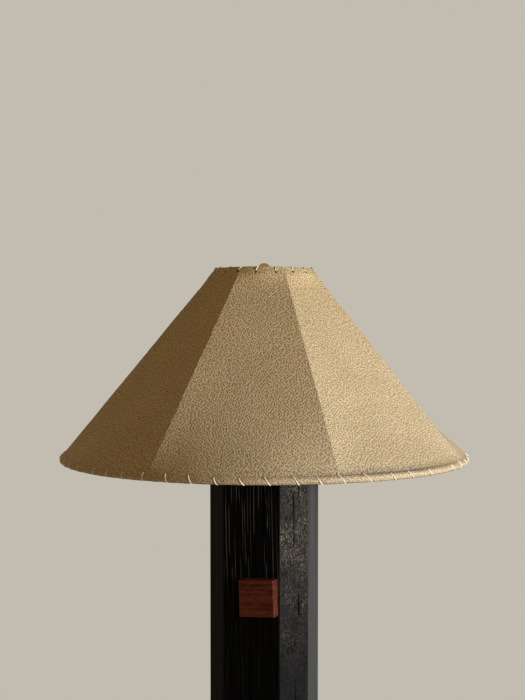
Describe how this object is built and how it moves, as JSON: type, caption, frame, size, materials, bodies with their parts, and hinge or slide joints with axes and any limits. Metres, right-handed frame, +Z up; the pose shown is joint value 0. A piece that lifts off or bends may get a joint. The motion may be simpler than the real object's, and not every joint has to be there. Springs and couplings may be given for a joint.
{
  "type": "floor lamp",
  "caption": "Floor lamp: eight-sided black timber column on a plinth, red block let into its front, and a conical laced hide shade with flat panels on a harp.",
  "frame": {"origin": "on the floor, on the axis of the column and shade: the centre of the bounding box's underside", "axes": "+Z up along the column; -Y is the front, the wide face that carries the red block; +X is to the right seen from the front"},
  "size_m": [0.5112, 0.512, 1.5261],
  "materials": {
    "ebonised_oak": "black stained, wire brushed, open grain",
    "birch_dowel": "turned, plain",
    "red_block": "dark red stain, horizontal grain, satin",
    "glide_plastic": "moulded",
    "bushing_plastic": "moulded",
    "cover_fibreboard": "pressed fibreboard",
    "zinc_steel": "zinc plated",
    "aged_brass": "aged, lacquered",
    "holder_brass": "spun, lacquered",
    "finial_brass": "turned, aged",
    "harp_metal": "brass plated steel",
    "liner_paper": "fibre paper sleeve",
    "phenolic": "moulded phenolic",
    "copper_shell": "rolled thread",
    "bulb_cap_metal": "rolled thread",
    "bulb_black_glass": "vitrified",
    "solder": "solder",
    "bulb_glass": "clear",
    "filament_wire": "drawn wire",
    "frame_wire": "lacquered wire",
    "hide_skin": "pebbled translucent hide, matte",
    "lacing_thread": "waxed pale thread"
  },
  "bodies": {
    "stand": {"base_plinth": "ebonised_oak", "column": "ebonised_oak", "base_glides": "glide_plastic", "base_cover": "cover_fibreboard", "base_cover_screws": "zinc_steel", "lead_bushing": "bushing_plastic", "column_dowels": "birch_dowel", "accent_block": "red_block", "lamp_rod": "zinc_steel", "rod_bottom_washer": "zinc_steel", "rod_bottom_nut": "zinc_steel", "column_cap": "aged_brass", "rod_top_nut": "aged_brass", "neck_tube": "aged_brass", "harp_saddle": "harp_metal", "harp_wire": "harp_metal", "harp_stud": "aged_brass", "socket_cap": "holder_brass", "socket_shell": "holder_brass", "socket_liner": "liner_paper", "socket_interior": "phenolic", "terminal_screws": "zinc_steel", "screw_shell": "copper_shell", "centre_contact": "holder_brass"},
    "shade": {"shade_bottom_ring": "frame_wire", "shade_top_ring": "frame_wire", "shade_rib_1": "frame_wire", "shade_rib_2": "frame_wire", "shade_rib_3": "frame_wire", "shade_rib_4": "frame_wire", "shade_rib_5": "frame_wire", "shade_rib_6": "frame_wire", "shade_rib_7": "frame_wire", "spider_hub": "aged_brass", "spider_arm_1": "frame_wire", "spider_arm_2": "frame_wire", "spider_arm_3": "frame_wire", "skin_hem": "hide_skin", "skin_panel_1": "hide_skin", "skin_panel_2": "hide_skin", "skin_panel_3": "hide_skin", "skin_panel_4": "hide_skin", "skin_panel_5": "hide_skin", "skin_panel_6": "hide_skin", "skin_panel_7": "hide_skin", "bottom_lacing": "lacing_thread", "top_lacing": "lacing_thread"},
    "finial": {"finial": "finial_brass"},
    "bulb": {"bulb_base": "bulb_cap_metal", "bulb_insulator": "bulb_black_glass", "bulb_contact": "solder", "bulb_glass": "bulb_glass", "bulb_stem": "bulb_glass", "bulb_filament": "filament_wire"},
    "switch": {"switch_stem": "holder_brass", "switch_knob": "phenolic"},
    "left_sleeve": {"harp_sleeve_left": "harp_metal"},
    "right_sleeve": {"harp_sleeve_right": "harp_metal"}
  },
  "joints": [
    {"name": "shade_turn", "type": "hinge", "parent": "stand", "child": "shade", "pos_m": [0, 0, 1.511], "axis": [0, 0, 1], "continuous": true},
    {"name": "finial_turn", "type": "hinge", "parent": "stand", "child": "finial", "pos_m": [0, 0, 1.513], "axis": [0, 0, 1], "continuous": true},
    {"name": "bulb_turn", "type": "hinge", "parent": "stand", "child": "bulb", "pos_m": [0, 0, 1.35], "axis": [0, 0, 1], "continuous": true},
    {"name": "switch_turn", "type": "hinge", "parent": "stand", "child": "switch", "pos_m": [0, -0.02, 1.3326], "axis": [0, -1, 0], "continuous": true},
    {"name": "left_sleeve_lift", "type": "slide", "parent": "stand", "child": "left_sleeve", "axis": [0, 0, 1], "range_m": [0, 0.01]},
    {"name": "right_sleeve_lift", "type": "slide", "parent": "stand", "child": "right_sleeve", "axis": [0, 0, 1], "range_m": [0, 0.01]}
  ]
}
